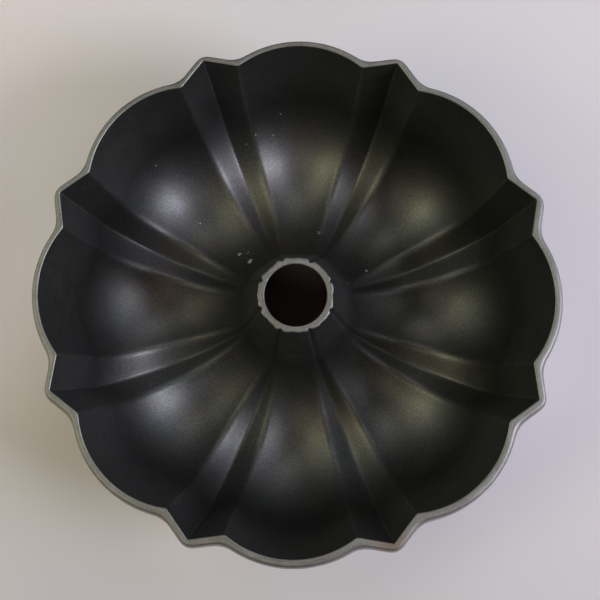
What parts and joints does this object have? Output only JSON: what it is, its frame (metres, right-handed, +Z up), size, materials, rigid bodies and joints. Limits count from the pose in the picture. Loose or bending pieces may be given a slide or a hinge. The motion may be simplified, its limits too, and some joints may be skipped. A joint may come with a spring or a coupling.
{
  "type": "bundt pan",
  "caption": "Fluted ring cake pan with round lobes, pointed grooves between them and a tapered centre tube; cast aluminium with a dark nonstick inside and a bare rim.",
  "frame": {"origin": "centre of the underside, in the plane of the foot flats", "axes": "+Z up along the centre tube, open side up; +X and +Y each through the middle of a lobe"},
  "size_m": [0.265, 0.265, 0.0901],
  "materials": {
    "cast_aluminium": "bare cast aluminium, machined along the rim and the top of the tube",
    "nonstick_coating": "baked nonstick film, charcoal with a fine metallic flake, satin"
  },
  "bodies": {
    "root": {"cast_body": "cast_aluminium", "nonstick_coating": "nonstick_coating"}
  },
  "joints": []
}
